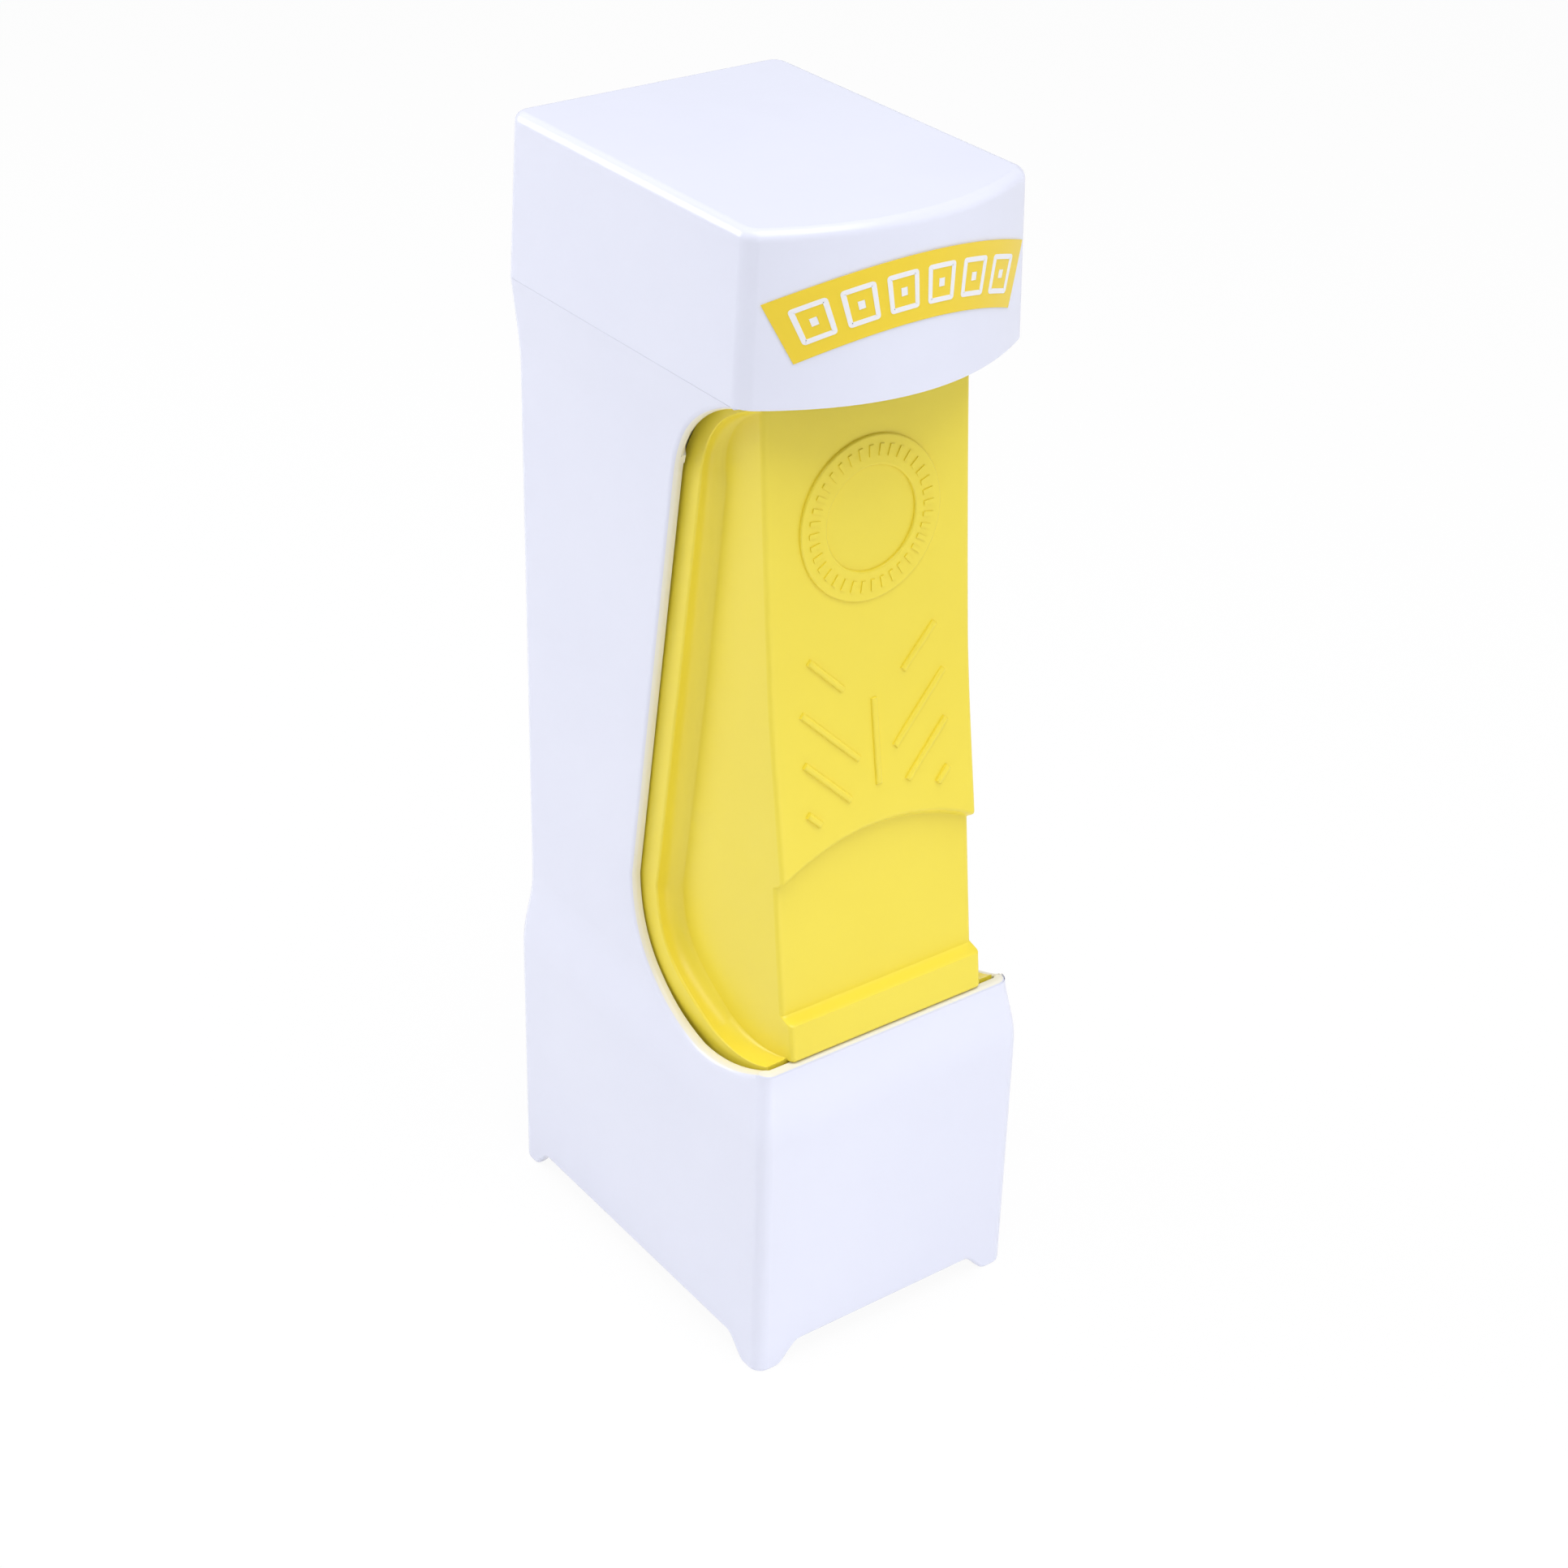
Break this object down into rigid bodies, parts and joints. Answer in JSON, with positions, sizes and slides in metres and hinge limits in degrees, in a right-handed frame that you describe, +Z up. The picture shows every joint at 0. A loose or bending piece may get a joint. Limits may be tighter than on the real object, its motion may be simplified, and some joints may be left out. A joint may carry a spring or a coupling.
{
  "type": "butter cutter dispenser",
  "caption": "Upright squeeze-lever dispenser with a lift-off lid that holds a stick of butter and slices pats off its lower end on to what lies below.",
  "frame": {"origin": "middle of the footprint, on the plane that the four corner feet stand on", "axes": "+Z up, the squeeze lever faces -Y, +X to the right of someone who faces the lever"},
  "size_m": [0.055, 0.076, 0.203],
  "materials": {
    "white_plastic": "glossy moulded white plastic, slightly cool",
    "yellow_plastic": "satin moulded butter-yellow plastic",
    "yellow_print": "smooth printed yellow film",
    "inner_plastic": "smooth moulded white plastic",
    "nylon": "matt off-white nylon",
    "blade_steel": "brushed stainless steel with a ground edge",
    "steel": "bright stainless steel"
  },
  "bodies": {
    "base": {"axle_clip_left": "steel", "axle_clip_right": "steel", "body_casing": "white_plastic", "butter_chamber": "inner_plastic", "chamber_screw_left": "steel", "chamber_screw_right": "steel", "collar_screw_left_back": "steel", "collar_screw_left_front": "steel", "collar_screw_right_back": "steel", "collar_screw_right_front": "steel", "guide_rail_left": "nylon", "guide_rail_right": "nylon", "ledge_screw_left": "steel", "ledge_screw_right": "steel", "lever_axle": "steel", "neck_collar": "white_plastic", "pat_ledge": "steel", "rail_screw_left_back": "steel", "rail_screw_left_front": "steel", "rail_screw_right_back": "steel", "rail_screw_right_front": "steel", "return_spring": "steel"},
    "lever": {"lever_shell": "yellow_plastic", "lever_bush_left": "nylon", "lever_bush_right": "nylon"},
    "carriage": {"cutter_carriage": "nylon", "cutter_blade": "blade_steel", "drive_pin_left": "steel", "drive_pin_right": "steel", "blade_rivet_left_back": "steel", "blade_rivet_left_front": "steel", "blade_rivet_right_back": "steel", "blade_rivet_right_front": "steel"},
    "lid": {"lid_cap": "white_plastic", "lid_band": "yellow_print"},
    "follower": {"butter_follower": "yellow_plastic"}
  },
  "joints": [
    {"name": "lever_squeeze", "type": "hinge", "parent": "base", "child": "lever", "pos_m": [0, -0.01767, 0.181], "axis": [1, 0, 0], "range_deg": [0, 14.5], "stiffness_Nm_per_rad": 0.8, "springref_deg": -20.05, "deforming": ["return_spring"]},
    {"name": "carriage_slide", "type": "slide", "parent": "base", "child": "carriage", "axis": [0, 1, 0], "range_m": [0, 0.0332]},
    {"name": "lid_lift", "type": "slide", "parent": "base", "child": "lid", "axis": [0, 0, 1], "range_m": [0, 0.04]},
    {"name": "follower_lift", "type": "slide", "parent": "base", "child": "follower", "axis": [0, 0, 1], "range_m": [0, 0.118]}
  ],
  "couplings": [
    {"joint": "carriage_slide", "follows": "lever_squeeze", "m_per_rad": 0.1304}
  ]
}
